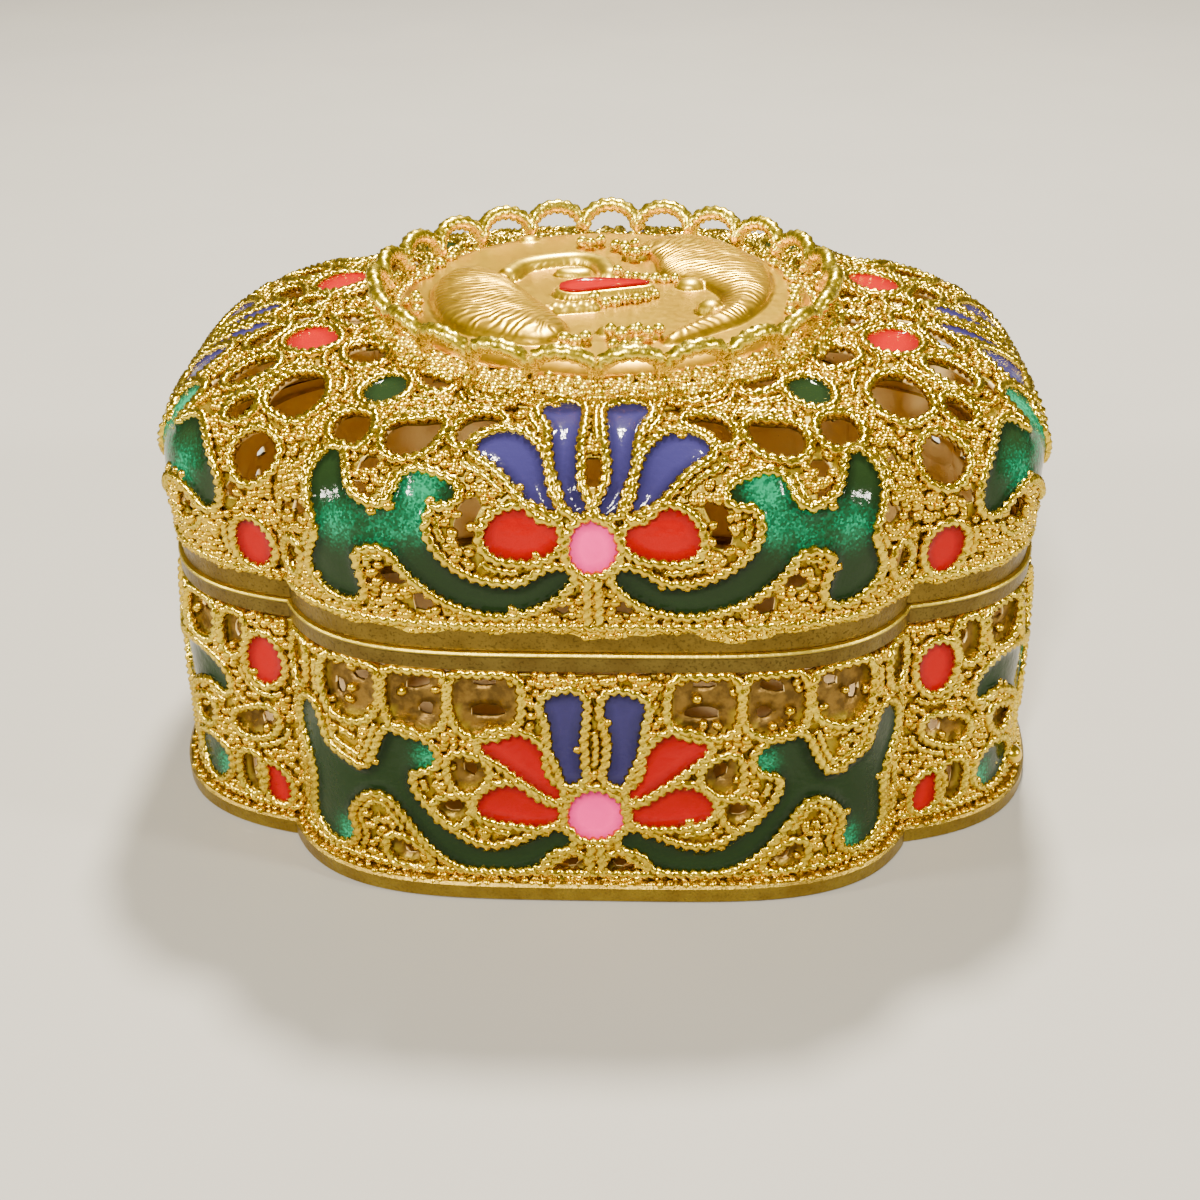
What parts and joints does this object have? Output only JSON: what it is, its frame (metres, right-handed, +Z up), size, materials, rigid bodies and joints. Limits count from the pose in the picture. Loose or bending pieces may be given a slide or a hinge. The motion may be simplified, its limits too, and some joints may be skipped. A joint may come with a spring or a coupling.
{
  "type": "enamelled openwork jewelry box with lift-off lid",
  "caption": "Small lobed gilt openwork jewelry box with blue, red, pink and green enamel flowers, a lift-off domed lid and a round relief medallion inside a looped wire gallery.",
  "frame": {"origin": "middle of the flat underside of the foot", "axes": "+X along the box's length, -Y is the front, +Z up"},
  "size_m": [0.0944, 0.078, 0.0529],
  "materials": {
    "gilt": "gilt wirework, warm yellow with brown shade in its recesses",
    "gilt_polished": "polished gilt",
    "enamel_blue": "glossy fired enamel, cobalt",
    "enamel_red": "glossy fired enamel, red",
    "enamel_pink": "glossy fired enamel, pink",
    "enamel_green": "glossy fired enamel, dark green with a turquoise glitter"
  },
  "bodies": {
    "root": {"base": "gilt", "lid": "gilt", "medallion": "gilt_polished", "gallery": "gilt_polished"}
  },
  "joints": []
}
